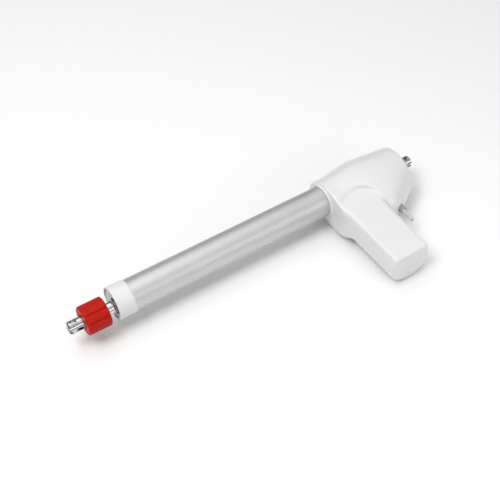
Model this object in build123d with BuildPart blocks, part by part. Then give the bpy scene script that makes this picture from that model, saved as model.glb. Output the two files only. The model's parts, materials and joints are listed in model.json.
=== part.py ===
"""Linear actuator: worm-geared spindle drive in a white housing, with a quick-release rod.

Row frame, in millimetres: the origin is the centre of the rear fork's pin hole. +X runs along the
spindle and rod towards the rod end, +Y points along the motor housing and +Z is the way the pin
holes run. Everything is drawn with the rod retracted.
"""
from build123d import *
import os
from math import cos, pi, radians, sin, tan

os.makedirs("parts", exist_ok=True)

# ---------------------------------------------------------------- driving dimensions
built_in_length = 612.0       # pin hole to pin hole, rod retracted
stroke = 300.0
pin_hole_r = 5.1
rod_r = 10.0                  # inner tube, rod end and rear fork
slot_half = 3.0               # half the gap between the two ears of a fork
slot_depth_beyond_hole = 11.0
tip_reach = 9.3               # hole centre to the rod end's tip
rear_tip_reach = 11.0

tube_y = -5.5                 # the outer tube is eccentric to the spindle
tube_r = 25.0
tube_bore_r = 22.5
tube_start_x = 146.0
tube_end_x = 530.0
nut_start_x = 176.0
nut_end_x = 200.0
cap_start_x = 519.5
cap_end_x = 547.7
cap_r = 26.5

body_rear_x = 12.0
body_front_x = 165.0
parting_z = -4.0              # plane between the upper and lower housing shells
wall = 2.6
gasket_half = 0.3
gasket_setback = 0.7

gear_x = 126.5                # plane of the worm wheel, and of the motor's axis
gear_module = 1.0
wheel_teeth = 27
worm_pitch_r = 4.5
wheel_pitch_r = gear_module * wheel_teeth / 2
worm_z = -(wheel_pitch_r + worm_pitch_r)
tooth_thinning = 0.4          # taken off each tooth and thread for backlash
worm_pitch = pi * gear_module

tongue_end_y = 170.0
tongue_top_z = 13.0

knob_start_x = 560.8
knob_end_x = 597.9
knob_r = 23.0

fit_gap = 0.05                # running and located fits, radial
free_gap = 0.3                # between bodies that only pass each other


def save(piece, name):
    """Label a finished sub-part and write its STEP file."""
    piece.part.label = name
    export_step(piece.part, f"parts/{name}.step")


def ring(start_x, end_x, outer_r, inner_r, centre_y=0.0, centre_z=0.0, mode=Mode.ADD):
    """Ring about an axis along X, from start_x to end_x."""
    with BuildSketch(Plane.YZ.offset(start_x)) as outline:
        with Locations((centre_y, centre_z)):
            Circle(outer_r)
            if inner_r > 0:
                Circle(inner_r, mode=Mode.SUBTRACT)
    extrude(outline.sketch, amount=end_x - start_x, mode=mode)


def disc(start_x, end_x, radius, centre_y=0.0, centre_z=0.0, mode=Mode.ADD):
    """Solid round of one radius about an axis along X."""
    ring(start_x, end_x, radius, 0.0, centre_y, centre_z, mode)


def ring_along_y(start_y, end_y, outer_r, inner_r, centre_x, centre_z, mode=Mode.ADD):
    """Ring about an axis along +Y, from start_y to end_y."""
    with BuildSketch(Plane((0, start_y, 0), x_dir=(1, 0, 0), z_dir=(0, 1, 0))) as outline:
        with Locations((centre_x, -centre_z)):
            Circle(outer_r)
            if inner_r > 0:
                Circle(inner_r, mode=Mode.SUBTRACT)
    extrude(outline.sketch, amount=end_y - start_y, mode=mode)


# ---------------------------------------------------------------- housing form
# One station of the body: x, left y, top z, right y, bottom z, and the y of the lowest point.
body_stations = [
    (body_rear_x, -39.0, 28.0, 42.0, -33.0, 8.0),
    (39.0, -43.5, 32.0, 59.0, -39.0, 16.0),
    (72.0, -46.5, 35.0, 75.0, -42.0, 24.0),
    (104.0, -47.0, 35.0, 78.0, -42.0, 28.0),
    (140.0, -42.0, 31.0, 75.0, -40.0, 30.0),
    (body_front_x, -43.0, 31.0, 73.0, -39.0, 33.0),
]
widest_left_z = 0.0
widest_right_z = -12.0
rear_round = 7.0
quarter_pull = 0.5523         # pull of a cubic curve that follows a quarter ellipse

# One station of the motor tongue: y, sideways shift of the flat top, its half width, the widest
# half width and bottom z. The top slopes down towards the end.
tongue_stations = [
    (30.0, 2.0, 36.0, 38.0, -39.0),
    (60.0, 2.0, 35.5, 37.0, -41.0),
    (tongue_end_y, 0.0, 32.0, 36.0, -45.0),
]
top_slope = 4.1               # degrees
tongue_widest_z = -12.0
tongue_round = 3.5
shoulder = 5.0
top_arc_x = 130.0             # the tongue's flat top starts at an arc cut into the body
top_arc_y = 57.0
top_arc_r = 36.5
recess_drop = 0.3
body_crop = 120.0             # size of the blocks that trim the housing


def quarter(start, end, start_vertical):
    """Quarter-ellipse curve between two extreme points of an outline."""
    (y0, z0), (y1, z1) = start, end
    if start_vertical:
        pulls = [(y0, z0 + quarter_pull * (z1 - z0)), (y1 - quarter_pull * (y1 - y0), z1)]
    else:
        pulls = [(y0 + quarter_pull * (y1 - y0), z0), (y1, z1 - quarter_pull * (z1 - z0))]
    Bezier(start, *pulls, end)


def top_height(y):
    """Height of the tongue's sloping top."""
    return tongue_top_z + (tongue_end_y - y) * tan(radians(top_slope))


def body_section(station, inset):
    """Rounded outline of the body across X, moved in by inset."""
    x, left, top, right, bottom, bottom_y = station
    x_moved = min(max(x, body_rear_x + 1.8 * inset), body_front_x - inset)
    left_point = (left + inset, widest_left_z)
    top_point = (tube_y, top - inset)
    right_point = (right - inset, widest_right_z)
    bottom_point = (bottom_y, bottom + inset)
    with BuildSketch(Plane.YZ.offset(x_moved)) as outline:
        with BuildLine():
            quarter(left_point, top_point, True)
            quarter(top_point, right_point, False)
            quarter(right_point, bottom_point, True)
            quarter(bottom_point, left_point, False)
        make_face()
    return outline.sketch


def tongue_section(station, inset):
    """Flat-topped, round-bottomed outline of the motor tongue across Y, moved in by inset."""
    y, shift, top_half, widest_half, bottom = station
    y_moved = min(y, tongue_end_y - inset)
    top = top_height(y) - inset
    front_flat = shift + top_half - shoulder
    rear_flat = shift - top_half + shoulder
    front_edge = shift + top_half - inset
    rear_edge = shift - top_half + inset
    widest = widest_half - inset
    low = bottom + inset
    pull_z = top - 2 * shoulder
    plane = Plane((gear_x, y_moved, 0), x_dir=(1, 0, 0), z_dir=(0, -1, 0))
    with BuildSketch(plane) as outline:
        with BuildLine():
            Line((rear_flat, top), (front_flat, top))
            Bezier((front_flat, top), (front_edge, top), (widest, pull_z), (widest, tongue_widest_z))
            quarter((widest, tongue_widest_z), (0, low), True)
            quarter((0, low), (-widest, tongue_widest_z), False)
            Bezier((-widest, tongue_widest_z), (-widest, pull_z), (rear_edge, top), (rear_flat, top))
        make_face()
    return outline.sketch


def top_recess(lower, radius):
    """Cut away what stands over the tongue's sloping top, back to an arc."""
    slope = radians(top_slope)
    centre = (top_arc_x, top_arc_y, top_height(top_arc_y) - lower)
    floor = Plane(centre, x_dir=(1, 0, 0), z_dir=(0, sin(slope), cos(slope)))
    with BuildSketch(floor) as recess:
        Circle(radius)
        Rectangle(2 * radius, body_crop, align=(Align.CENTER, Align.MIN))
    extrude(recess.sketch, amount=body_crop, mode=Mode.SUBTRACT)


def housing_form(inset, rounded):
    """The closed form of the whole housing, moved in by inset: body, flat top and motor tongue."""
    with BuildPart() as tongue:
        loft([tongue_section(station, inset) for station in tongue_stations])
        if rounded:
            fillet(tongue.faces().sort_by(Axis.Y)[-1].edges(), tongue_round)
    with BuildPart() as form:
        loft([body_section(station, inset) for station in body_stations])
        if rounded:
            fillet(form.faces().sort_by(Axis.X)[0].edges(), rear_round)
        top_recess(recess_drop + inset, top_arc_r + inset)
        add(tongue.part)
    return form.part


def keep_slab(low_z, high_z):
    """Trim the part in hand to the space between two levels."""
    with BuildSketch(Plane.XY.offset(low_z)) as slab:
        with Locations((gear_x, top_arc_y)):
            Rectangle(3 * body_crop, 3 * body_crop)
    extrude(slab.sketch, amount=high_z - low_z, mode=Mode.INTERSECT)


def round_along_z(centre, radius, low_z, high_z, mode=Mode.ADD):
    """Solid round about an axis along Z."""
    with BuildSketch(Plane.XY.offset(low_z)) as outline:
        with Locations(centre):
            Circle(radius)
    extrude(outline.sketch, amount=high_z - low_z, mode=mode)


def block(corner, opposite, mode=Mode.ADD):
    """Rectangular block between two opposite corners."""
    size = [b - a for a, b in zip(corner, opposite)]
    with Locations(corner):
        Box(*size, align=(Align.MIN, Align.MIN, Align.MIN), mode=mode)


outer_form = housing_form(0.0, True)
inner_form = housing_form(wall, False)

tube_hole_r = tube_r + fit_gap
clevis_hole_r = rod_r + 0.2
screw_places = [(30.0, 34.0), (28.0, -29.0), (78.0, 66.0), (155.0, 56.0), (103.0, 150.0), (150.0, 150.0)]
screw_r = 1.45
pilot_r = 1.5
screw_clearance_r = 1.7
screw_top_z = 8.0
screw_ledge_z = -12.0
screw_head_r = 3.0
screw_head_height = 2.5
upper_boss_r = 3.8
lower_boss_r = 4.6
counterbore_r = 3.2
board_post_places = [(104.0, 66.0), (149.0, 66.0), (104.0, 134.0), (149.0, 134.0)]
board_post_r = 2.4
board_low_z = 3.0
board_thick = 1.6

frame_r = 27.5                # gear frame, about the tube's axis
rib_starts = (70.0, 139.0)    # ribs of both shells that hold the gear frame
rib_thick = 3.0
rib_reach_y = 30.0

plug_x = 63.2
plug_start_y = 61.4
plug_z = -9.0
plug_lean = 3.0               # the cable plug leans towards +X, degrees
plug_axis = Vector(0, 1, 0).rotate(Axis.Z, -plug_lean)
plug_plane = Plane((plug_x, plug_start_y, plug_z), x_dir=(0, 0, 1), z_dir=plug_axis)
gland_hole_r = 6.0
plug_r = 2.9
plug_start = 0.5
plug_end = 42.0
gland_neck_r = 4.6


# Everything cut through the housing: tube bore, rear fork's hole and the cable gland's hole
with BuildPart() as housing_holes:
    disc(body_front_x - 20, body_front_x + 20, tube_hole_r, tube_y)
    disc(body_rear_x - 10, body_rear_x + 20, clevis_hole_r)
    with BuildSketch(plug_plane):
        Circle(gland_hole_r)
    extrude(amount=40)

# Ribs of both shells, closed round the gear frame
with BuildPart() as frame_ribs:
    for rib_start in rib_starts:
        block((rib_start, -body_crop, -body_crop), (rib_start + rib_thick, rib_reach_y, body_crop))
    disc(body_rear_x, body_front_x, frame_r + fit_gap, tube_y, mode=Mode.SUBTRACT)

# Upper housing shell: dome over the gears and flat lid over the motor
with BuildPart() as upper_inside:
    add(frame_ribs.part)
    for place in screw_places:
        round_along_z(place, upper_boss_r, parting_z, body_crop)
    for place in board_post_places:
        round_along_z(place, board_post_r, board_low_z + board_thick, body_crop)
    keep_slab(parting_z + gasket_half, body_crop)
    add(inner_form, mode=Mode.INTERSECT)
with BuildPart() as upper_cuts:
    add(housing_holes.part)
    for place in screw_places:
        round_along_z(place, pilot_r, parting_z, screw_top_z + 0.5)
with BuildPart() as upper_housing_shell:
    add(outer_form)
    keep_slab(parting_z + gasket_half, body_crop)
    add(inner_form, mode=Mode.SUBTRACT)
    add(upper_inside.part)
    add(upper_cuts.part, mode=Mode.SUBTRACT)
save(upper_housing_shell, "upper_housing_shell")

# Lower housing shell: trough with counterbored screw bosses
with BuildPart() as lower_inside:
    add(frame_ribs.part)
    for place in screw_places:
        round_along_z(place, lower_boss_r, -body_crop, parting_z)
    keep_slab(-body_crop, parting_z - gasket_half)
    add(inner_form, mode=Mode.INTERSECT)
with BuildPart() as lower_cuts:
    add(housing_holes.part)
    for place in screw_places:
        round_along_z(place, screw_clearance_r, screw_ledge_z, parting_z)
        round_along_z(place, counterbore_r, -body_crop, screw_ledge_z)
with BuildPart() as lower_housing_shell:
    add(outer_form)
    keep_slab(-body_crop, parting_z - gasket_half)
    add(inner_form, mode=Mode.SUBTRACT)
    add(lower_inside.part)
    add(lower_cuts.part, mode=Mode.SUBTRACT)
save(lower_housing_shell, "lower_housing_shell")

# Gasket in the parting line, set back from the outside so that it reads as a fine groove
with BuildPart() as housing_gasket:
    add(housing_form(gasket_setback, False))
    keep_slab(parting_z - gasket_half, parting_z + gasket_half)
    add(inner_form, mode=Mode.SUBTRACT)
    add(housing_holes.part, mode=Mode.SUBTRACT)
save(housing_gasket, "housing_gasket")

# Screws from below that close the two shells
with BuildPart() as housing_screws:
    for place in screw_places:
        round_along_z(place, screw_r, screw_ledge_z, screw_top_z)
        round_along_z(place, screw_head_r, screw_ledge_z - screw_head_height, screw_ledge_z)
save(housing_screws, "housing_screws")

# ---------------------------------------------------------------- outer tube and its end cap
with BuildPart() as outer_tube:
    ring(tube_start_x, tube_end_x, tube_r, tube_bore_r, tube_y)
save(outer_tube, "outer_tube")

seal_width = 3.0
seal_r = 28.0
with BuildPart() as tube_seal_ring:
    ring(body_front_x, body_front_x + seal_width, seal_r, tube_hole_r, tube_y)
    chamfer(tube_seal_ring.edges().filter_by(GeomType.CIRCLE).sort_by(Axis.X)[-1], 0.8)
save(tube_seal_ring, "tube_seal_ring")

bush_r = 13.0
bush_start_x = 518.5
bush_end_x = 539.5
wiper_r = 13.4
wiper_start_x = 540.5
wiper_end_x = 546.0
spigot_r = 22.4
o_ring_x = 524.0
o_ring_section = 2.0
o_ring_groove = 2.0
o_ring_play = 0.2
cap_rim = 2.2
cap_recess = 2.5
with BuildPart() as tube_end_cap:
    disc(cap_start_x, cap_end_x, cap_r, tube_y)
    fillet(tube_end_cap.edges().filter_by(GeomType.CIRCLE), 1.0)
    disc(cap_end_x - cap_recess, cap_end_x, cap_r - cap_rim, tube_y, mode=Mode.SUBTRACT)
    ring(cap_start_x, tube_end_x + 0.5, tube_hole_r, spigot_r, tube_y, mode=Mode.SUBTRACT)
    groove_start = o_ring_x - o_ring_play
    groove_end = o_ring_x + o_ring_section + o_ring_play
    ring(groove_start, groove_end, spigot_r, spigot_r - o_ring_groove, tube_y, mode=Mode.SUBTRACT)
    disc(cap_start_x, wiper_start_x, bush_r + fit_gap, mode=Mode.SUBTRACT)
    disc(wiper_start_x - 1.0, cap_end_x, wiper_r + fit_gap, mode=Mode.SUBTRACT)
save(tube_end_cap, "tube_end_cap")

with BuildPart() as cap_o_ring:
    ring(o_ring_x, o_ring_x + o_ring_section, spigot_r, spigot_r - 1.9, tube_y)
save(cap_o_ring, "cap_o_ring")

with BuildPart() as rod_guide_bush:
    ring(bush_start_x, bush_end_x, bush_r, rod_r + fit_gap)
save(rod_guide_bush, "rod_guide_bush")

with BuildPart() as rod_wiper_seal:
    ring(wiper_start_x, wiper_end_x, wiper_r, rod_r + fit_gap)
    ring(wiper_end_x - 1.2, wiper_end_x, wiper_r, rod_r + 1.8, mode=Mode.SUBTRACT)
save(rod_wiper_seal, "rod_wiper_seal")

# ---------------------------------------------------------------- limit switches in the tube
strip_low_y = -27.0
strip_thick = 1.6
strip_half = 5.8
switch_clearance = 2.0
switch_length = 9.0
switch_starts = (nut_start_x - switch_clearance - switch_length, nut_end_x + stroke + switch_clearance)
switch_height = 2.2
with BuildPart() as switch_strip:
    block((160.0, strip_low_y, -strip_half), (514.0, strip_low_y + strip_thick, strip_half))
save(switch_strip, "switch_strip")

switch_base_y = strip_low_y + strip_thick
with BuildPart() as limit_switches:
    for start in switch_starts:
        block((start, switch_base_y, -4.0), (start + switch_length, switch_base_y + switch_height, 4.0))
save(limit_switches, "limit_switches")

# ---------------------------------------------------------------- rear fork and gear frame
plate_start_x = 52.0
frame_start_x = 60.0
frame_end_x = tube_start_x
stack_r = 17.0                # clevis flange, spacer and bearing share this bore
flange_start_x = frame_start_x + free_gap
flange_end_x = 66.0
bearing_start_x = 84.0
bearing_end_x = 98.0
shaft_r = 6.0
journal_r = 5.0
gear_bore_r = 15.2
brake_start_x = 104.0
spigot_length = 12.0
worm_bore_r = 6.3
worm_bush_y = -17.0
neck_r = 9.0
motor_r = 18.0
motor_flange_y = 44.0
motor_start_y = 48.0
frame_screw_angles = (70.0, 110.0, 250.0, 290.0)
frame_screw_circle_r = 22.5
frame_screw_depth = 12.0


def fork(tip_x, hole_x, slot_root_x, mode=Mode.SUBTRACT):
    """Cut the pin hole and the slot between the two ears, open at the tip."""
    round_along_z((hole_x, 0), pin_hole_r, -2 * rod_r, 2 * rod_r, mode)
    low_x, high_x = sorted((tip_x, slot_root_x))
    block((low_x, -2 * rod_r, -slot_half), (high_x, 2 * rod_r, slot_half), mode)


with BuildPart() as rear_clevis:
    disc(-rear_tip_reach, flange_end_x, rod_r)
    chamfer(rear_clevis.faces().sort_by(Axis.X)[0].edges(), 1.6)
    disc(flange_start_x, flange_end_x, stack_r - fit_gap)
    fork(-2 * rear_tip_reach, 0.0, slot_depth_beyond_hole)
save(rear_clevis, "rear_clevis")


def frame_screw_holes(start_x, end_x, radius, mode):
    """Four holes or shanks round the rear of the gear frame."""
    with BuildSketch(Plane.YZ.offset(start_x)) as holes:
        with Locations((tube_y, 0)):
            for angle in frame_screw_angles:
                with PolarLocations(frame_screw_circle_r, 1, start_angle=angle):
                    Circle(radius)
    extrude(holes.sketch, amount=end_x - start_x, mode=mode)


with BuildPart() as gear_frame:
    disc(frame_start_x, frame_end_x, frame_r, tube_y)
    disc(frame_end_x, frame_end_x + spigot_length, tube_bore_r - fit_gap, tube_y)
    ring_along_y(worm_bush_y - 1, motor_flange_y, neck_r, 0, gear_x, worm_z)
    ring_along_y(motor_flange_y, motor_start_y, motor_r, 0, gear_x, worm_z)
    disc(frame_start_x, bearing_end_x + 0.2, stack_r, mode=Mode.SUBTRACT)
    disc(frame_start_x, brake_start_x, 9.5, mode=Mode.SUBTRACT)
    disc(brake_start_x, frame_end_x + spigot_length, gear_bore_r, mode=Mode.SUBTRACT)
    ring_along_y(worm_bush_y, motor_start_y, worm_bore_r, 0, gear_x, worm_z, mode=Mode.SUBTRACT)
    frame_screw_holes(frame_start_x, frame_start_x + frame_screw_depth + 1, pilot_r, Mode.SUBTRACT)
    top_recess(wall + 2 * free_gap, top_arc_r + wall + free_gap)
save(gear_frame, "gear_frame")

with BuildPart() as frame_rear_plate:
    disc(plate_start_x, frame_start_x, frame_r - 0.5, tube_y)
    disc(plate_start_x, frame_start_x, rod_r + fit_gap, mode=Mode.SUBTRACT)
    frame_screw_holes(plate_start_x, frame_start_x, screw_clearance_r, Mode.SUBTRACT)
    frame_screw_holes(plate_start_x, plate_start_x + 3, counterbore_r, Mode.SUBTRACT)
save(frame_rear_plate, "frame_rear_plate")

with BuildPart() as frame_screws:
    frame_screw_holes(plate_start_x + 3, frame_start_x + frame_screw_depth, screw_r, Mode.ADD)
    frame_screw_holes(plate_start_x + 0.5, plate_start_x + 3, screw_head_r, Mode.ADD)
save(frame_screws, "frame_screws")

with BuildPart() as bearing_spacer:
    ring(flange_end_x, bearing_start_x, stack_r - fit_gap, 12.0)
save(bearing_spacer, "bearing_spacer")

# ---------------------------------------------------------------- spindle bearing
race_inner_r = 9.4
race_outer_r = 14.6
ball_r = 2.5
ball_count = 11
ball_circle_r = (race_inner_r + race_outer_r) / 2
bearing_mid_x = (bearing_start_x + bearing_end_x) / 2

with BuildPart() as bearing_outer_race:
    ring(bearing_start_x, bearing_end_x, stack_r - fit_gap, race_outer_r)
save(bearing_outer_race, "bearing_outer_race")

with BuildPart() as bearing_inner_race:
    ring(bearing_start_x, bearing_end_x, race_inner_r, journal_r)
save(bearing_inner_race, "bearing_inner_race")

with BuildPart() as bearing_balls:
    with Locations(Plane.YZ.offset(bearing_mid_x)):
        with PolarLocations(ball_circle_r, ball_count):
            Sphere(ball_r)
save(bearing_balls, "bearing_balls")

# ---------------------------------------------------------------- spindle, worm wheel and brake
spindle_start_x = 74.0
spindle_end_x = 520.0
guide_start_x = 514.0
guide_seat_r = 4.0
inner_tube_bore_r = 8.2
wheel_start_x = gear_x - 5.0
wheel_end_x = gear_x + 5.0
tooth_half_angle = 20.0


def tooth_width(height_above_pitch):
    """Thickness of a tooth or thread at a height above its pitch line."""
    return worm_pitch / 2 - tooth_thinning - 2 * height_above_pitch * tan(radians(tooth_half_angle))


tooth_tip = gear_module
tooth_root = 1.25 * gear_module

with BuildPart() as spindle:
    disc(spindle_start_x, bearing_end_x, journal_r)
    disc(bearing_end_x, guide_start_x, shaft_r)
    disc(guide_start_x, spindle_end_x, guide_seat_r)
    chamfer(spindle.faces().sort_by(Axis.X)[-1].edges(), 0.8)
    chamfer(spindle.faces().sort_by(Axis.X)[0].edges(), 0.8)
save(spindle, "spindle")

with BuildPart() as bearing_lock_nut:
    with BuildSketch(Plane.YZ.offset(bearing_start_x - 6)) as lock_nut_outline:
        RegularPolygon(9.0, 6)
        Circle(journal_r, mode=Mode.SUBTRACT)
    extrude(lock_nut_outline.sketch, amount=6)
save(bearing_lock_nut, "bearing_lock_nut")

with BuildPart() as spindle_end_guide:
    ring(guide_start_x, spindle_end_x - 1, inner_tube_bore_r - free_gap, guide_seat_r)
save(spindle_end_guide, "spindle_end_guide")

with BuildSketch() as wheel_tooth:
    with BuildLine():
        Polyline(
            (-tooth_root - 0.5, -tooth_width(-tooth_root) / 2),
            (tooth_tip, -tooth_width(tooth_tip) / 2),
            (tooth_tip, tooth_width(tooth_tip) / 2),
            (-tooth_root - 0.5, tooth_width(-tooth_root) / 2),
            close=True,
        )
    make_face()

# The wheel has a tooth gap at its lowest point, where the worm's thread stands at rest
with BuildPart() as worm_wheel:
    with BuildSketch(Plane.YZ.offset(wheel_start_x)) as wheel_outline:
        Circle(wheel_pitch_r - tooth_root)
        with PolarLocations(wheel_pitch_r, wheel_teeth, start_angle=-90 + 180 / wheel_teeth):
            add(wheel_tooth.sketch)
        Circle(shaft_r, mode=Mode.SUBTRACT)
    extrude(wheel_outline.sketch, amount=wheel_end_x - wheel_start_x)
save(worm_wheel, "worm_wheel")

with BuildPart() as brake_hub:
    ring(brake_start_x + 1, wheel_start_x, 11.0, shaft_r)
save(brake_hub, "brake_hub")

brake_wire_r = 0.8
with BuildPart() as brake_spring:
    for turn in range(6):
        with Locations(Plane.YZ.offset(brake_start_x + 3 + 2.2 * turn)):
            Torus(13.0, brake_wire_r)
save(brake_spring, "brake_spring")

# ---------------------------------------------------------------- motor and worm
can_r = motor_r
can_bore_r = 16.4
can_start_y = 51.0
can_end_y = 132.0
bell_end_y = 142.0
motor_shaft_r = 2.5
shaft_start_y = -16.5
shaft_end_y = 139.0
worm_turns = 8
worm_half = worm_turns * worm_pitch / 2
worm_root_r = worm_pitch_r - tooth_root
magnet_r = can_bore_r - fit_gap
magnet_bore_r = 13.2
magnet_start_y = 58.0
magnet_end_y = 120.0
magnet_gap_half = 5.0
armature_r = 12.7
armature_start_y = 62.0
armature_end_y = 116.0
armature_slots = 5
armature_slot_wide = 2.0
armature_slot_deep = 7.0
commutator_r = 6.0
commutator_start_y = 120.0
commutator_end_y = 130.0
brush_start_y = 122.0
brush_end_y = 128.0
brush_reach = 15.0
brush_half = 1.5
brush_gap = 0.1
bush_r_motor = 5.0            # motor bushes in the front plate and the end bell
bell_wall = 3.0
bell_skirt = 2.0
worm_bush_start_y = worm_bush_y + 0.2
worm_bush_length = 2.4
bell_floor_y = bell_end_y - bell_wall
shaft_fit_r = motor_shaft_r + fit_gap

with BuildPart() as motor_front_plate:
    ring_along_y(motor_start_y, can_start_y, motor_r, bush_r_motor, gear_x, worm_z)
save(motor_front_plate, "motor_front_plate")

with BuildPart() as motor_can:
    ring_along_y(can_start_y, can_end_y, can_r, can_bore_r, gear_x, worm_z)
save(motor_can, "motor_can")

with BuildPart() as motor_end_bell:
    ring_along_y(can_end_y, bell_end_y, motor_r, 0, gear_x, worm_z)
    ring_along_y(can_end_y, bell_floor_y, motor_r - bell_skirt, 0, gear_x, worm_z, mode=Mode.SUBTRACT)
    ring_along_y(can_end_y, bell_end_y, bush_r_motor, 0, gear_x, worm_z, mode=Mode.SUBTRACT)
save(motor_end_bell, "motor_end_bell")

with BuildPart() as motor_magnets:
    ring_along_y(magnet_start_y, magnet_end_y, magnet_r, magnet_bore_r, gear_x, worm_z)
    gap_corner = (gear_x - motor_r, magnet_start_y, worm_z - magnet_gap_half)
    gap_opposite = (gear_x + motor_r, magnet_end_y, worm_z + magnet_gap_half)
    block(gap_corner, gap_opposite, mode=Mode.SUBTRACT)
save(motor_magnets, "motor_magnets")

with BuildPart() as motor_bushes:
    worm_bush_end_y = worm_bush_start_y + worm_bush_length
    ring_along_y(worm_bush_start_y, worm_bush_end_y, worm_bore_r - fit_gap, shaft_fit_r, gear_x, worm_z)
    ring_along_y(motor_start_y, can_start_y, bush_r_motor - fit_gap, shaft_fit_r, gear_x, worm_z)
    ring_along_y(bell_floor_y, bell_end_y, bush_r_motor - fit_gap, shaft_fit_r, gear_x, worm_z)
save(motor_bushes, "motor_bushes")

with BuildPart() as motor_brushes:
    brush_inner = commutator_r + brush_gap
    low_z = worm_z - brush_half
    high_z = worm_z + brush_half
    block((gear_x + brush_inner, brush_start_y, low_z), (gear_x + brush_reach, brush_end_y, high_z))
    block((gear_x - brush_reach, brush_start_y, low_z), (gear_x - brush_inner, brush_end_y, high_z))
save(motor_brushes, "motor_brushes")

with BuildPart() as motor_shaft:
    ring_along_y(shaft_start_y, shaft_end_y, motor_shaft_r, 0, gear_x, worm_z)
save(motor_shaft, "motor_shaft")

with BuildPart() as armature:
    ring_along_y(armature_start_y, armature_end_y, armature_r, motor_shaft_r, gear_x, worm_z)
    armature_plane = Plane((gear_x, armature_start_y, worm_z), x_dir=(1, 0, 0), z_dir=(0, 1, 0))
    with BuildSketch(armature_plane) as slots:
        with PolarLocations(armature_r - armature_slot_deep / 2 + 1.0, armature_slots):
            Rectangle(armature_slot_deep, armature_slot_wide)
    extrude(slots.sketch, amount=armature_end_y - armature_start_y, mode=Mode.SUBTRACT)
save(armature, "armature")

with BuildPart() as commutator:
    ring_along_y(commutator_start_y, commutator_end_y, commutator_r, motor_shaft_r, gear_x, worm_z)
save(commutator, "commutator")

# The worm is drawn about Z, with a thread crest on its +X side at mid length, and then placed
with BuildPart() as worm_blank:
    with BuildLine() as worm_path:
        Helix(worm_pitch, 2 * worm_half, worm_pitch_r, center=(0, 0, -worm_half))
    with BuildSketch(Plane(worm_path.wire() @ 0, x_dir=(1, 0, 0), z_dir=worm_path.wire() % 0)) as thread:
        with BuildLine():
            Polyline(
                (-tooth_root - 0.3, -tooth_width(-tooth_root) / 2),
                (tooth_tip, -tooth_width(tooth_tip) / 2),
                (tooth_tip, tooth_width(tooth_tip) / 2),
                (-tooth_root - 0.3, tooth_width(-tooth_root) / 2),
                close=True,
            )
        make_face()
    sweep(thread.sketch, path=worm_path.wire(), is_frenet=True)
    Cylinder(worm_root_r, 2 * worm_half + 3)
    Cylinder(motor_shaft_r, 4 * worm_half, mode=Mode.SUBTRACT)
worm_plane = Plane((gear_x, 0, worm_z), x_dir=(0, 0, 1), z_dir=(0, 1, 0))
with BuildPart() as worm:
    with Locations(worm_plane):
        add(worm_blank.part)
save(worm, "worm")

# ---------------------------------------------------------------- control board
board_corner = (99.0, 62.0)
board_opposite = (154.0, 138.0)
board_top_z = board_low_z + board_thick
relay_corners = [(112.0, 72.0), (129.0, 72.0)]
relay_size = (14.0, 12.0, 5.0)
controller_corner = (112.0, 92.0)
controller_size = (10.0, 10.0, 2.0)
connector_corner = (128.0, 94.0)
connector_size = (16.0, 6.0, 4.5)
capacitor_places = [(118.0, 116.0), (130.0, 116.0)]
capacitor_r = 3.5
capacitor_tall = 5.0
with BuildPart() as control_board:
    block((*board_corner, board_low_z), (*board_opposite, board_top_z))
save(control_board, "control_board")


def standing_block(corner, size):
    """Block that stands on the board, from its lower corner and its size."""
    x, y = corner
    length, width, height = size
    block((x, y, board_top_z), (x + length, y + width, board_top_z + height))


with BuildPart() as board_components:
    for corner in relay_corners:
        standing_block(corner, relay_size)
    standing_block(controller_corner, controller_size)
    standing_block(connector_corner, connector_size)
    for place in capacitor_places:
        round_along_z(place, capacitor_r, board_top_z, board_top_z + capacitor_tall)
save(board_components, "board_components")

# ---------------------------------------------------------------- cable gland and plug
def plug_round(start, end, outer_r, bore_r):
    """Ring about the leaning axis of the cable plug."""
    with BuildSketch(plug_plane.offset(start)) as outline:
        Circle(outer_r)
        if bore_r > 0:
            Circle(bore_r, mode=Mode.SUBTRACT)
    extrude(outline.sketch, amount=end - start)


plug_hole_r = plug_r + fit_gap
gland_flange_start = 1.0
gland_flange_end = 3.2
gland_flange_r = 6.4
gland_rib_start = 9.5
gland_rib = 1.1
gland_rib_pitch = 2.0
gland_ribs = 4
gland_end = gland_rib_start + (gland_ribs - 1) * gland_rib_pitch + gland_rib
with BuildPart() as cable_gland:
    plug_round(gland_flange_start, gland_flange_end, gland_flange_r, plug_hole_r)
    plug_round(gland_flange_end, gland_rib_start, gland_hole_r - fit_gap, plug_hole_r)
    plug_round(gland_rib_start, gland_end, gland_neck_r, plug_hole_r)
    for rib in range(gland_ribs):
        rib_start = gland_rib_start + gland_rib_pitch * rib
        plug_round(rib_start, rib_start + gland_rib, gland_hole_r - fit_gap, plug_hole_r)
save(cable_gland, "cable_gland")

with BuildPart() as cable_plug:
    plug_round(plug_start, plug_end, plug_r, 0)
    chamfer(cable_plug.faces().sort_by(Axis.Y)[-1].edges(), 0.5)
save(cable_plug, "cable_plug")

# ---------------------------------------------------------------- moving rod
nut_spigot = 12.0
nut_r = tube_bore_r - free_gap
inner_tube_end_x = 574.0
rod_spigot = 26.0
rod_pin_x = 568.0
rod_pin_r = 2.0

with BuildPart() as inner_tube:
    ring(nut_end_x, inner_tube_end_x, rod_r, inner_tube_bore_r)
    round_along_z((rod_pin_x, 0), rod_pin_r, -2 * rod_r, 2 * rod_r, mode=Mode.SUBTRACT)
save(inner_tube, "inner_tube")

# The nut follows the eccentric tube, which keeps it from turning, and clears the switches
with BuildPart() as spindle_nut:
    disc(nut_start_x, nut_end_x, nut_r, tube_y)
    disc(nut_end_x, nut_end_x + nut_spigot, inner_tube_bore_r - fit_gap)
    disc(nut_start_x, nut_end_x + nut_spigot, shaft_r + fit_gap, mode=Mode.SUBTRACT)
    block((nut_start_x, -60, -60), (nut_end_x, switch_base_y + switch_height + 0.4, 60), mode=Mode.SUBTRACT)
save(spindle_nut, "spindle_nut")

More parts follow.
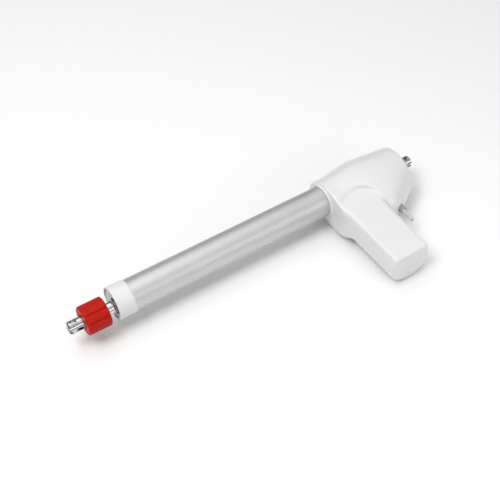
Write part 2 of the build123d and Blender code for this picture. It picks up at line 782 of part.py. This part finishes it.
tip_x = built_in_length + tip_reach
with BuildPart() as rod_end:
    disc(inner_tube_end_x - rod_spigot, tip_x, inner_tube_bore_r - fit_gap)
    disc(inner_tube_end_x, tip_x, rod_r)
    chamfer(rod_end.faces().sort_by(Axis.X)[-1].edges(), 1.6)
    fork(tip_x + tip_reach, built_in_length, built_in_length - slot_depth_beyond_hole)
    round_along_z((rod_pin_x, 0), rod_pin_r, -2 * rod_r, 2 * rod_r, mode=Mode.SUBTRACT)
save(rod_end, "rod_end")

with BuildPart() as rod_end_pin:
    round_along_z((rod_pin_x, 0), rod_pin_r, 0.4 - rod_r, rod_r - 0.4)
save(rod_end_pin, "rod_end_pin")

collar_start_x = 566.0
collar_end_x = 576.0
collar_r = 15.6
with BuildPart() as release_collar:
    ring(collar_start_x, collar_end_x, collar_r, rod_r + fit_gap)
save(release_collar, "release_collar")

# ---------------------------------------------------------------- quick-release knob
knob_bore_r = rod_r + free_gap
front_chamfer = 2.5
cavity_r = 16.0
cavity_start_x = collar_start_x - free_gap
front_ring_x = 591.0
groove_spread = 27.0          # grooves stand this far each side of four wide lobes
lobe_groove_r = 1.8
lobe_groove_circle_r = 23.4
groove_end_x = front_ring_x - 4.0
with BuildPart() as release_knob:
    disc(knob_start_x, front_ring_x, knob_r)
    chamfer(release_knob.edges().filter_by(GeomType.CIRCLE).sort_by(Axis.X)[0], 1.5)
    disc(cavity_start_x, front_ring_x, cavity_r, mode=Mode.SUBTRACT)
    disc(knob_start_x, cavity_start_x, knob_bore_r, mode=Mode.SUBTRACT)
    with BuildSketch(Plane.YZ.offset(knob_start_x + 3)) as lobe_grooves:
        for side in (-groove_spread, groove_spread):
            with PolarLocations(lobe_groove_circle_r, 4, start_angle=side):
                Circle(lobe_groove_r)
    extrude(lobe_grooves.sketch, amount=groove_end_x - knob_start_x - 3, mode=Mode.SUBTRACT)
save(release_knob, "release_knob")

with BuildPart() as knob_front_ring:
    ring(front_ring_x, knob_end_x, knob_r, knob_bore_r)
    front_edges = knob_front_ring.edges().filter_by(GeomType.CIRCLE).group_by(Axis.X)[-1]
    chamfer(front_edges.sort_by(SortBy.RADIUS)[-1], front_chamfer)
save(knob_front_ring, "knob_front_ring")

spring_wire_r = 0.9
with BuildPart() as release_spring:
    for turn in range(5):
        with Locations(Plane.YZ.offset(collar_end_x + 2.0 + 2.4 * turn)):
            Torus(13.5, spring_wire_r)
save(release_spring, "release_spring")
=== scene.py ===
import json
from math import cos, exp, pi, radians, sin

import bmesh
import bpy
import numpy as np
from mathutils import Matrix, Vector


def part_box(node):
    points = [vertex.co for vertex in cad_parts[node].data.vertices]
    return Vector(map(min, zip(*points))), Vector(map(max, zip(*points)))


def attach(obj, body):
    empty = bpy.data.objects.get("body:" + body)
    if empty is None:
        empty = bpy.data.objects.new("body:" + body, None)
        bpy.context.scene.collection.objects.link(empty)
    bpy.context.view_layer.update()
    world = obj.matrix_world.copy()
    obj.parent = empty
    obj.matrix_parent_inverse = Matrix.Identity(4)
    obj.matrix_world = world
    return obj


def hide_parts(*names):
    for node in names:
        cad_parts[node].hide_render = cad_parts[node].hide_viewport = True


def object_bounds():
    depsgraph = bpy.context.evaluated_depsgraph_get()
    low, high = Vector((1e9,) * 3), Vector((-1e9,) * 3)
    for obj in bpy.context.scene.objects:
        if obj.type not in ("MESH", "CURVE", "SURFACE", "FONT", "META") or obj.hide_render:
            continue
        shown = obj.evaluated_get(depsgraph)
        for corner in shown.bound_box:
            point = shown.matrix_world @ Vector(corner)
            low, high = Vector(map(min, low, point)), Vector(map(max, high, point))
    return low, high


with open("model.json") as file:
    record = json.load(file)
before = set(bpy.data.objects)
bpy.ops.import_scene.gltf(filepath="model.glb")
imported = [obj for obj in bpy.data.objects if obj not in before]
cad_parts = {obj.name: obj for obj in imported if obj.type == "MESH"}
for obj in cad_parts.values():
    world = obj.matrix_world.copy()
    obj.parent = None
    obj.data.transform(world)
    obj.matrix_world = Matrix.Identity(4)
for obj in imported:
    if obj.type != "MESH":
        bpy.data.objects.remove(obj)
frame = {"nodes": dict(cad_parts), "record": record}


def plain_box():
    """Lowest and highest corner of everything shown, as plain numbers."""
    low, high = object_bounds()
    return [[float(v) for v in low], [float(v) for v in high]]


cad_box = plain_box()
nodes = frame["nodes"]
mm = 0.001

# ---------------------------------------------------------------- camera
camera_place = Vector((0.8492, 0.8089, 1.0666))
camera_data = bpy.data.cameras.new("camera")
camera_data.sensor_width = 36.0
camera_data.lens = 66.96
camera = bpy.data.objects.new("camera", camera_data)
bpy.context.scene.collection.objects.link(camera)
camera_right = Vector((-0.8315, 0.5556, 0.0)).normalized()
camera_back = Vector((0.3696, 0.5531, 0.7466)).normalized()
camera_up = camera_back.cross(camera_right).normalized()
turn = Matrix((camera_right, camera_up, camera_back)).transposed()
camera.matrix_world = Matrix.Translation(camera_place) @ turn.to_4x4()
bpy.context.scene.camera = camera


# ---------------------------------------------------------------- materials
def surface(name, colour, roughness, metallic=0.0, vary=0.03, rough_vary=0.06, grain=1400.0,
            stretch=(1.0, 1.0, 1.0), bump=0.05, bump_depth=0.00005, coat=0.0, specular=0.5):
    """Surface with a slow drift of its colour, and a fine grain that drives its roughness and relief."""
    material = bpy.data.materials.new(name)
    material.use_nodes = True
    tree = material.node_tree
    shader = tree.nodes["Principled BSDF"]
    shader.inputs["Metallic"].default_value = metallic
    shader.inputs["Coat Weight"].default_value = coat
    shader.inputs["Coat Roughness"].default_value = 0.12
    shader.inputs["Specular IOR Level"].default_value = specular
    place = tree.nodes.new("ShaderNodeTexCoord")
    scale = tree.nodes.new("ShaderNodeMapping")
    scale.inputs["Scale"].default_value = stretch
    tree.links.new(place.outputs["Object"], scale.inputs["Vector"])
    drift = tree.nodes.new("ShaderNodeTexNoise")
    drift.inputs["Scale"].default_value = 45.0
    drift.inputs["Detail"].default_value = 3.0
    tree.links.new(place.outputs["Object"], drift.inputs["Vector"])
    fine = tree.nodes.new("ShaderNodeTexNoise")
    fine.inputs["Scale"].default_value = grain
    fine.inputs["Detail"].default_value = 2.0
    tree.links.new(scale.outputs["Vector"], fine.inputs["Vector"])
    ramp = tree.nodes.new("ShaderNodeValToRGB")
    ramp.color_ramp.elements[0].position = 0.3
    ramp.color_ramp.elements[1].position = 0.7
    ramp.color_ramp.elements[0].color = [c * (1 - vary) for c in colour] + [1.0]
    ramp.color_ramp.elements[1].color = [min(1.0, c * (1 + vary)) for c in colour] + [1.0]
    tree.links.new(drift.outputs["Fac"], ramp.inputs["Fac"])
    tree.links.new(ramp.outputs["Color"], shader.inputs["Base Color"])
    spread = tree.nodes.new("ShaderNodeMapRange")
    spread.inputs["To Min"].default_value = max(0.02, roughness - rough_vary)
    spread.inputs["To Max"].default_value = roughness + rough_vary
    tree.links.new(fine.outputs["Fac"], spread.inputs["Value"])
    tree.links.new(spread.outputs["Result"], shader.inputs["Roughness"])
    lift = tree.nodes.new("ShaderNodeBump")
    lift.inputs["Strength"].default_value = bump
    lift.inputs["Distance"].default_value = bump_depth
    tree.links.new(fine.outputs["Fac"], lift.inputs["Height"])
    tree.links.new(lift.outputs["Normal"], shader.inputs["Normal"])
    return material


along_x = (0.004, 1.0, 1.0)   # grain drawn out along X
along_y = (1.0, 0.01, 1.0)    # grain drawn out along Y
looks = {
    "housing_plastic": dict(colour=(0.71, 0.71, 0.71), roughness=0.38, vary=0.012, bump=0.12, coat=0.45),
    "cap_plastic": dict(colour=(0.70, 0.70, 0.70), roughness=0.42, vary=0.015, bump=0.15),
    "ring_plastic": dict(colour=(0.80, 0.80, 0.79), roughness=0.40, bump=0.1),
    "seal_rubber": dict(colour=(0.42, 0.42, 0.42), roughness=0.75, bump=0.4),
    "wiper_rubber": dict(colour=(0.03, 0.03, 0.03), roughness=0.55, bump=0.4),
    "gland_rubber": dict(colour=(0.36, 0.36, 0.36), roughness=0.5, bump=0.4),
    "plug_plastic": dict(colour=(0.50, 0.50, 0.49), roughness=0.5, bump=0.15),
    "tube_aluminium": dict(colour=(0.60, 0.603, 0.608), roughness=0.50, metallic=0.85, vary=0.02,
                           grain=2600.0, stretch=along_x, bump=0.25),
    "rod_chrome": dict(colour=(0.60, 0.605, 0.615), roughness=0.10, metallic=1.0, rough_vary=0.03,
                       grain=3000.0, stretch=along_x, bump=0.05),
    "fork_steel": dict(colour=(0.52, 0.52, 0.53), roughness=0.2, metallic=1.0, rough_vary=0.05, bump=0.12),
    "knob_red": dict(colour=(0.42, 0.008, 0.003), roughness=0.45, vary=0.06, bump=0.25, specular=0.13),
    "bush_plastic": dict(colour=(0.72, 0.68, 0.56), roughness=0.45),
    "dark_plastic": dict(colour=(0.03, 0.03, 0.033), roughness=0.5),
    "board_laminate": dict(colour=(0.02, 0.16, 0.06), roughness=0.3),
    "screw_steel": dict(colour=(0.55, 0.56, 0.58), roughness=0.25, metallic=1.0, stretch=along_x),
    "bearing_steel": dict(colour=(0.60, 0.61, 0.63), roughness=0.18, metallic=1.0),
    "spring_steel": dict(colour=(0.30, 0.30, 0.32), roughness=0.3, metallic=1.0),
    "motor_steel": dict(colour=(0.42, 0.42, 0.44), roughness=0.32, metallic=1.0, stretch=along_y),
    "cast_alloy": dict(colour=(0.50, 0.50, 0.52), roughness=0.55, metallic=1.0, grain=700.0, bump=0.5),
    "magnet_ferrite": dict(colour=(0.05, 0.05, 0.055), roughness=0.7),
    "bronze": dict(colour=(0.55, 0.31, 0.12), roughness=0.4, metallic=1.0),
}
materials = {name: surface(name, **look) for name, look in looks.items()}

for part in frame["record"]["subparts"]:
    node = nodes[part["node"]]
    node.data.materials.clear()
    node.data.materials.append(materials[part["material_slot"]])


# ---------------------------------------------------------------- quick-release knob
def turned_piece(name, outline, steps, radius_at):
    """Closed ring about the X axis: a closed loop of (x, r), whose r radius_at shapes round the turn."""
    vertices = []
    faces = []
    count = len(outline)
    for step in range(steps):
        angle = 2 * pi * step / steps
        for x, r in outline:
            shaped = radius_at(x, r, angle)
            vertices.append((x, shaped * cos(angle), shaped * sin(angle)))
    for step in range(steps):
        here = step * count
        there = ((step + 1) % steps) * count
        for i in range(count):
            j = (i + 1) % count
            faces.append((here + i, here + j, there + j, there + i))
    mesh = bpy.data.meshes.new(name)
    mesh.from_pydata(vertices, [], faces)
    mesh.update()
    piece = bpy.data.objects.new(name, mesh)
    bpy.context.scene.collection.objects.link(piece)
    for polygon in mesh.polygons:
        polygon.use_smooth = True
    return piece


knob_low, knob_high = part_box("release_knob")
ring_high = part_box("knob_front_ring")[1]
knob_x0 = knob_low.x
knob_x1 = ring_high.x
knob_length = knob_x1 - knob_x0
knob_r = knob_high.z
bore_r = 10.3 * mm
bore_end = 0.03                   # share of the knob's length, at each end of the bore
collar_gap = 0.3 * mm
cavity_r = 16.0 * mm              # hollow that holds the release collar and its spring
cavity_x0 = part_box("release_collar")[0].x - collar_gap
cavity_x1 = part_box("knob_front_ring")[0].x
bore_lip_x = 0.4 * mm
bore_lip_r = 0.2 * mm
bore_lip = 0.6 * mm
face_inner_r = bore_r + 5 * mm
face_outer_r = knob_r - 3.4 * mm
front_edge_r = 2.4 * mm
front_edge_steps = 8
rear_edge_r = 1.6 * mm
rear_edge_steps = 6
body_steps = 44
body_start = knob_x1 - 3.0 * mm
body_end = knob_x0 + rear_edge_r + 0.4 * mm
turn_steps = 360

grip_inner_r = bore_r + 6 * mm    # the grip's shape begins outside this radius
groove_depth = 2.0 * mm
groove_half_angle = radians(3.6)
groove_front_gap = 2.2 * mm
groove_front_fade = 4.0 * mm
groove_rear_overrun = 1.0 * mm
groove_rear_fade = 2.5 * mm
wide_half_angle = radians(27.0)
lobe_crown = 0.5 * mm
panel_depth = 0.45 * mm           # flat sunk into each wide lobe
panel_width = 0.62                # share of the lobe
panel_side_fade = 0.1
panel_rear_gap = 5 * mm
panel_front_gap = 7 * mm
panel_end_fade = 1.2 * mm


def arc_points(centre_x, centre_r, radius, start, end, count):
    """Points of an arc in the (x, r) half plane, angles in degrees from +x."""
    points = []
    for i in range(count + 1):
        angle = radians(start + (end - start) * i / count)
        points.append((centre_x + radius * cos(angle), centre_r + radius * sin(angle)))
    return points


body_xs = [body_start + (body_end - body_start) * i / body_steps for i in range(body_steps + 1)]
knob_outline = [(knob_x0 + knob_length * bore_end, bore_r)]
knob_outline += [(cavity_x0, bore_r), (cavity_x0, cavity_r), (cavity_x1, cavity_r), (cavity_x1, bore_r)]
knob_outline += [(knob_x1 - knob_length * bore_end, bore_r)]
knob_outline += [(knob_x1 - bore_lip_x, bore_r + bore_lip_r), (knob_x1, bore_r + bore_lip)]
knob_outline += [(knob_x1, face_inner_r), (knob_x1, face_outer_r)]
knob_outline += arc_points(knob_x1 - front_edge_r, knob_r - front_edge_r,
                           front_edge_r, 0, 90, front_edge_steps)
knob_outline += [(x, knob_r) for x in body_xs]
knob_outline += arc_points(knob_x0 + rear_edge_r, knob_r - rear_edge_r,
                           rear_edge_r, 90, 180, rear_edge_steps)
knob_outline += [(knob_x0, face_outer_r), (knob_x0, face_inner_r), (knob_x0, bore_r + bore_lip)]


def smooth_step(value):
    """0 below 0, 1 above 1, and a smooth rise between."""
    t = max(0.0, min(1.0, value))
    return t * t * (3 - 2 * t)


def knob_radius(x, r, angle):
    """Lobed grip: four wide and four narrow lobes between axial grooves with rounded ends."""
    if r < grip_inner_r:
        return r
    quarter = (angle + pi / 4) % (pi / 2) - pi / 4
    from_groove = abs(abs(quarter) - wide_half_angle)
    across = exp(-(from_groove / groove_half_angle) ** 2)
    behind_front = smooth_step((knob_x1 - groove_front_gap - x) / groove_front_fade)
    past_rear = smooth_step((x - knob_x0 + groove_rear_overrun) / groove_rear_fade)
    deep = groove_depth * across * behind_front * past_rear
    wide = abs(quarter) < wide_half_angle
    half = wide_half_angle if wide else pi / 4 - wide_half_angle
    position = abs(quarter) / half if wide else (pi / 4 - abs(quarter)) / half
    crown = lobe_crown * position ** 2
    panel = 0.0
    if wide:
        inside = smooth_step((panel_width - position) / panel_side_fade)
        from_rear = smooth_step((x - knob_x0 - panel_rear_gap) / panel_end_fade)
        from_front = smooth_step((knob_x1 - panel_front_gap - x) / panel_end_fade)
        panel = panel_depth * inside * (from_rear * from_front)
    share = (r - bore_r) / (knob_r - bore_r)
    return r - (deep + crown + panel) * share ** 2


knob = turned_piece("knob_grip", knob_outline, turn_steps, knob_radius)
knob.data.materials.append(materials["knob_red"])
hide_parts("release_knob", "knob_front_ring")
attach(knob, "knob")

# ---------------------------------------------------------------- housing with blended edges
voxel = 1.15 * mm
parting_z = (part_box("housing_gasket")[0].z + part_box("housing_gasket")[1].z) / 2
shell_seam = 0.06 * mm        # half the hairline gap between the two shells
cut_face_band = 0.01 * mm     # faces this near the cut, and level, belong to it
level_normal = 0.9999
arc_centre = Vector((130.0, 57.0)) * mm   # arc where the tongue's flat top starts
arc_r = 36.5 * mm
tube_axis_y = (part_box("outer_tube")[0].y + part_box("outer_tube")[1].y) / 2
settle_weight = 0.35
settle_rounds = 3
blend_rounds = 42
blend_strength = 0.6
corner_weight = 0.8           # of the two inner corners, against the tongue's step
rim_weight = 0.8

# A reach is the distance where a blend begins to fade and where it ends; a rise is the height where it begins
# and where it is full
step_reach = (4 * mm, 11 * mm)
step_rise = (2 * mm, 9 * mm)
step_run = (90 * mm, 125 * mm)            # fades out along the tongue between these
front_corner_place = (161 * mm, 72 * mm)
front_corner_stretch = (1.2, 1.6)
front_corner_reach = (8 * mm, 18 * mm)
front_corner_rise = (-34 * mm, -26 * mm)
rear_corner_place = (91 * mm, 78 * mm)
rear_corner_stretch = (1.0, 1.3)
rear_corner_reach = (6 * mm, 14 * mm)
rear_corner_rise = (-30 * mm, -22 * mm)
rim_start = (160.5 * mm, 163.5 * mm)      # along X
rim_from_tube = (27.5 * mm, 29.5 * mm)    # out from the tube's axis


def remeshed(name, *sources):
    """New mesh object with an even net of faces over the joined source nodes."""
    joined = bmesh.new()
    for source in sources:
        joined.from_mesh(nodes[source].data)
    mesh = bpy.data.meshes.new(name)
    joined.to_mesh(mesh)
    joined.free()
    rough = bpy.data.objects.new(name, mesh)
    bpy.context.scene.collection.objects.link(rough)
    net = rough.modifiers.new("net", "REMESH")
    net.mode = "VOXEL"
    net.voxel_size = voxel
    bpy.context.view_layer.update()
    result = bpy.data.meshes.new_from_object(rough.evaluated_get(bpy.context.evaluated_depsgraph_get()))
    bpy.data.objects.remove(rough)
    return result


def ease(values, low, high):
    """0 below low, 1 above high, and a smooth rise between, for an array."""
    t = np.clip((values - low) / (high - low), 0.0, 1.0)
    return t * t * (3 - 2 * t)


def relax(mesh, weights, rounds):
    """Move each point towards the mean of its neighbours, by its weight, several times over."""
    count = len(mesh.vertices)
    points = np.empty(count * 3)
    mesh.vertices.foreach_get("co", points)
    points = points.reshape(-1, 3)
    pairs = np.empty(len(mesh.edges) * 2, dtype=np.int64)
    mesh.edges.foreach_get("vertices", pairs)
    first, second = pairs.reshape(-1, 2).T
    degree = np.bincount(first, minlength=count) + np.bincount(second, minlength=count)
    for _ in range(rounds):
        strength = weights(points)[:, None]
        total = np.zeros_like(points)
        for axis in range(3):
            total[:, axis] += np.bincount(first, weights=points[second, axis], minlength=count)
            total[:, axis] += np.bincount(second, weights=points[first, axis], minlength=count)
        points = points + strength * (total / degree[:, None] - points)
    mesh.vertices.foreach_set("co", points.ravel())
    mesh.update()


def near_place(x, y, place, stretch, full, none):
    """1 within the distance full of a place seen from above, 0 beyond none; stretch widens it by axis."""
    return 1 - ease(np.hypot((x - place[0]) / stretch[0], (y - place[1]) / stretch[1]), full, none)


def step_weight(x, y, z):
    """The step along the arc and down both sides of the tongue's flat top, fading out along the tongue."""
    from_centre = np.hypot(x - arc_centre.x, y - arc_centre.y)
    past_centre = y > arc_centre.y
    from_step = np.where(past_centre, np.abs(np.abs(x - arc_centre.x) - arc_r), np.abs(from_centre - arc_r))
    along_tongue = 1 - ease(y, *step_run)
    return (1 - ease(from_step, *step_reach)) * ease(z, *step_rise) * along_tongue


def blend_weight(points):
    """How softly each place is blended: the tongue's step, its two inner corners and the front rim."""
    x, y, z = points.T
    front_corner = near_place(x, y, front_corner_place, front_corner_stretch, *front_corner_reach)
    rear_corner = near_place(x, y, rear_corner_place, rear_corner_stretch, *rear_corner_reach)
    from_tube = np.hypot(y - tube_axis_y, z)
    weights = [
        step_weight(x, y, z),
        corner_weight * (front_corner * ease(z, *front_corner_rise)),
        corner_weight * (rear_corner * ease(z, *rear_corner_rise)),
        rim_weight * ease(x, *rim_start) * ease(from_tube, *rim_from_tube),
    ]
    return np.clip(np.maximum.reduce(weights), 0.0, 1.0) * blend_strength


def half_shell(name, mesh, keep_above, *stands_for):
    """The part of the housing above or below the parting plane, closed on that plane."""
    work = bmesh.new()
    work.from_mesh(mesh)
    level = parting_z + shell_seam if keep_above else parting_z - shell_seam
    everything = work.verts[:] + work.edges[:] + work.faces[:]
    cut = bmesh.ops.bisect_plane(work, geom=everything, plane_co=(0, 0, level), plane_no=(0, 0, 1),
                                 clear_inner=keep_above, clear_outer=not keep_above)
    rim = [item for item in cut["geom_cut"] if isinstance(item, bmesh.types.BMEdge)]
    bmesh.ops.triangle_fill(work, edges=rim, use_beauty=True, normal=(0, 0, -1 if keep_above else 1))
    for face in work.faces:
        from_cut = abs(face.calc_center_median().z - level)
        face.smooth = abs(face.normal.z) < level_normal or from_cut > cut_face_band
    for edge in rim:
        if edge.is_valid:
            edge.smooth = False
    half = bpy.data.meshes.new(name)
    work.to_mesh(half)
    work.free()
    piece = bpy.data.objects.new(name, half)
    bpy.context.scene.collection.objects.link(piece)
    half.materials.append(materials["housing_plastic"])
    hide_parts(*stands_for)
    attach(piece, "housing")


housing_net = remeshed("housing_net", "upper_housing_shell", "housing_gasket", "lower_housing_shell")
relax(housing_net, lambda points: np.full(len(points), settle_weight), settle_rounds)
relax(housing_net, blend_weight, blend_rounds)
half_shell("upper_shell_skin", housing_net, True, "upper_housing_shell", "housing_gasket")
half_shell("lower_shell_skin", housing_net, False, "lower_housing_shell")

# ---------------------------------------------------------------- floor, lights and surroundings
middle = (0.3, 0.0, 0.0)
floor_z = cad_box[0][2] - 3 * mm
floor_reach = 12.0
floor_corners = [(floor_reach * x, floor_reach * y, 0) for x, y in ((-1, -1), (1, -1), (1, 1), (-1, 1))]
floor_mesh = bpy.data.meshes.new("floor")
floor_mesh.from_pydata(floor_corners, [], [(0, 1, 2, 3)])
floor = bpy.data.objects.new("floor", floor_mesh)
floor.location = (middle[0], middle[1], floor_z)
bpy.context.scene.collection.objects.link(floor)
floor_mesh.materials.append(surface("floor", (0.86, 0.86, 0.86), 0.9, vary=0.004, bump=0.0, specular=0.0))


def area_light(name, place, target, size, power):
    """Soft rectangular light at a place, facing a target, its long side level."""
    data = bpy.data.lights.new(name, "AREA")
    data.shape = "RECTANGLE"
    data.size, data.size_y = size
    data.energy = power
    light = bpy.data.objects.new(name, data)
    light.location = place
    light.rotation_euler = (Vector(target) - Vector(place)).to_track_quat("-Z", "Y").to_euler()
    bpy.context.scene.collection.objects.link(light)


area_light("overhead", (0.3, -0.3, 2.6), middle, (2.4, 2.4), 13.0)
area_light("key", (1.4, 0.2, 2.0), middle, (0.9, 0.9), 26.0)
area_light("rear", (0.3, -1.3, 2.3), middle, (1.6, 1.6), 6.0)
area_light("tube_strip", (-0.2, 1.25, 0.60), middle, (1.8, 0.3), 5.2)

world = bpy.data.worlds.new("studio")
bpy.context.scene.world = world
world.use_nodes = True
sky = world.node_tree
background = sky.nodes["Background"]
direction = sky.nodes.new("ShaderNodeTexCoord")
split = sky.nodes.new("ShaderNodeSeparateXYZ")
sky.links.new(direction.outputs["Generated"], split.inputs["Vector"])
band = sky.nodes.new("ShaderNodeValToRGB")
# Pale at the horizon, dark just above it for the reflections in metal, and bright overhead
horizon_tones = [(0.0, 0.60), (0.05, 0.45), (0.10, 0.02), (0.32, 0.05), (0.52, 1.0)]
for place, tone in horizon_tones[1:-1]:
    band.color_ramp.elements.new(place)
for stop, (place, tone) in zip(band.color_ramp.elements, horizon_tones):
    stop.position = place
    stop.color = (tone, tone, tone, 1.0)
sky.links.new(split.outputs["Z"], band.inputs["Fac"])
sky.links.new(band.outputs["Color"], background.inputs["Color"])
background.inputs["Strength"].default_value = 0.60

bpy.context.scene.view_settings.view_transform = "Standard"
